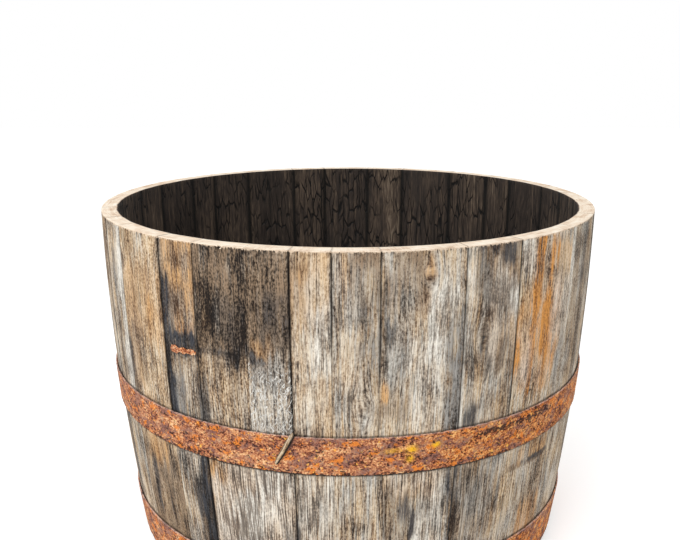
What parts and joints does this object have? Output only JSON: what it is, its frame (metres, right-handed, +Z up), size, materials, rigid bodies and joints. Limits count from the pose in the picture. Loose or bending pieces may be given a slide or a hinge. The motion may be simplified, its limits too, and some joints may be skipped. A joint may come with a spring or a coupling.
{
  "type": "wooden barrel planter",
  "caption": "Round floor planter made from the lower half of an oak cask: bent staves, a boarded head in a groove, and rusted riveted steel hoops.",
  "frame": {"origin": "centre of the foot, on the ground", "axes": "+Z up, towards the sawn rim; -Y is the front, as pictured; +X is to its right"},
  "size_m": [0.68, 0.68, 0.47],
  "materials": {
    "stave_oak": "weathered grey-brown oak, dry and open-grained; sawn rim pale, inside charred",
    "head_oak": "damp-stained oak boards, charred inside",
    "dowel_oak": "plain turned oak",
    "hoop_steel": "heavily rusted, pitted, orange-brown",
    "rivet_steel": "rusted",
    "sliver_oak": "weathered splinter",
    "rust_crust": "flaking rust"
  },
  "bodies": {
    "root": {"stave_01": "stave_oak", "stave_02": "stave_oak", "stave_03": "stave_oak", "stave_04": "stave_oak", "stave_05": "stave_oak", "stave_06": "stave_oak", "stave_07": "stave_oak", "stave_08": "stave_oak", "stave_09": "stave_oak", "stave_10": "stave_oak", "stave_11": "stave_oak", "stave_12": "stave_oak", "stave_13": "stave_oak", "stave_14": "stave_oak", "stave_15": "stave_oak", "stave_16": "stave_oak", "stave_17": "stave_oak", "stave_18": "stave_oak", "stave_19": "stave_oak", "stave_20": "stave_oak", "stave_21": "stave_oak", "stave_22": "stave_oak", "stave_23": "stave_oak", "stave_24": "stave_oak", "stave_25": "stave_oak", "stave_26": "stave_oak", "stave_27": "stave_oak", "stave_28": "stave_oak", "stave_29": "stave_oak", "head_cant_left": "head_oak", "head_quarter_left": "head_oak", "head_middle": "head_oak", "head_quarter_right": "head_oak", "head_cant_right": "head_oak", "head_dowel_1": "dowel_oak", "head_dowel_2": "dowel_oak", "head_dowel_3": "dowel_oak", "head_dowel_4": "dowel_oak", "head_dowel_5": "dowel_oak", "head_dowel_6": "dowel_oak", "head_dowel_7": "dowel_oak", "head_dowel_8": "dowel_oak", "quarter_hoop": "hoop_steel", "chime_hoop": "hoop_steel", "quarter_hoop_rivet_1": "rivet_steel", "quarter_hoop_rivet_2": "rivet_steel", "chime_hoop_rivet_1": "rivet_steel", "chime_hoop_rivet_2": "rivet_steel", "seam_sliver": "sliver_oak", "hoop_fragment": "rust_crust"}
  },
  "joints": []
}
